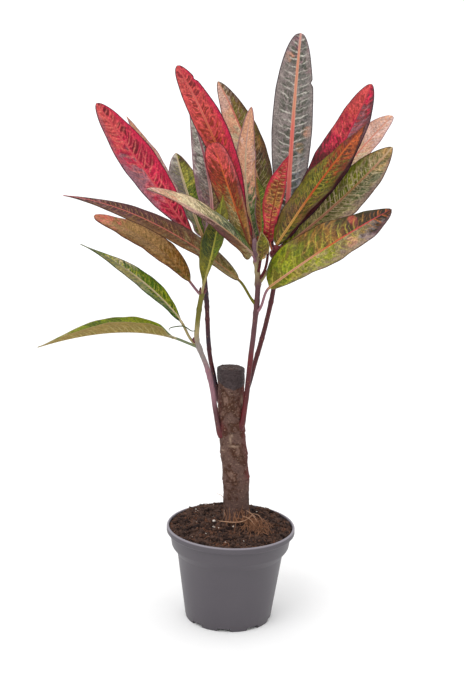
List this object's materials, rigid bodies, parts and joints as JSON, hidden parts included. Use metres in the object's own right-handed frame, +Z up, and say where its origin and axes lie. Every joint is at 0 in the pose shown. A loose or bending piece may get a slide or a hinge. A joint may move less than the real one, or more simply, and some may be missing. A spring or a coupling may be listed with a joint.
{
  "type": "potted croton",
  "caption": "Croton house plant on a cut trunk with slender side stems and long mottled leaves, standing in soil in a plain tapered nursery pot.",
  "frame": {"origin": "centre of the pot's flat base, on the surface that the pot stands on", "axes": "+Z up along the pot's axis, +X to the plant's right and -Y to its front"},
  "size_m": [0.3137, 0.1925, 0.5411],
  "materials": {
    "pot_plastic": "grey moulded plastic with a soft sheen",
    "soil": "crumbly dark peat with fibres and white grains",
    "bark": "rough grey-brown bark with old leaf scars",
    "stem_pale": "smooth young bark, beige to mauve",
    "stem_dark": "smooth young bark, maroon",
    "leaf_red": "glossy leaf, crimson to coral with rust mottling",
    "leaf_green": "glossy leaf, green with cream veins",
    "leaf_olive": "glossy leaf, olive with yellow and orange veins",
    "leaf_brown": "glossy leaf, purple-brown to tan",
    "leaf_grey": "glossy leaf, grey-green with a pink midrib",
    "leaf_peach": "glossy leaf, peach and pale pink",
    "leaf_dark": "glossy leaf, dark green with peach mottling"
  },
  "bodies": {
    "root": {"pot": "pot_plastic", "soil": "soil", "trunk": "bark", "stem_left_pale": "stem_pale", "stem_left_dark": "stem_dark", "stem_right_front": "stem_dark", "stem_right_back": "stem_dark", "leaf_left_lowest": "leaf_olive", "leaf_left_low": "leaf_green", "leaf_left_tan": "leaf_brown", "leaf_left_brown": "leaf_brown", "leaf_pale_stem_front": "leaf_green", "leaf_grey_front": "leaf_grey", "leaf_red_left": "leaf_red", "leaf_peach_left": "leaf_peach", "leaf_green_spear": "leaf_green", "leaf_grey_inner": "leaf_grey", "leaf_red_centre": "leaf_red", "leaf_rust_front": "leaf_red", "leaf_dark_back": "leaf_dark", "leaf_peach_narrow": "leaf_peach", "leaf_olive_small": "leaf_olive", "leaf_crimson_small": "leaf_red", "leaf_grey_tall": "leaf_grey", "leaf_red_right": "leaf_red", "leaf_olive_right": "leaf_olive", "leaf_gold_right": "leaf_green", "leaf_pink_right": "leaf_peach", "leaf_green_lower_right": "leaf_olive", "leaf_crown_small": "leaf_olive", "leaf_back_left": "leaf_brown", "leaf_back_middle": "leaf_red", "leaf_back_right": "leaf_green"}
  },
  "joints": []
}
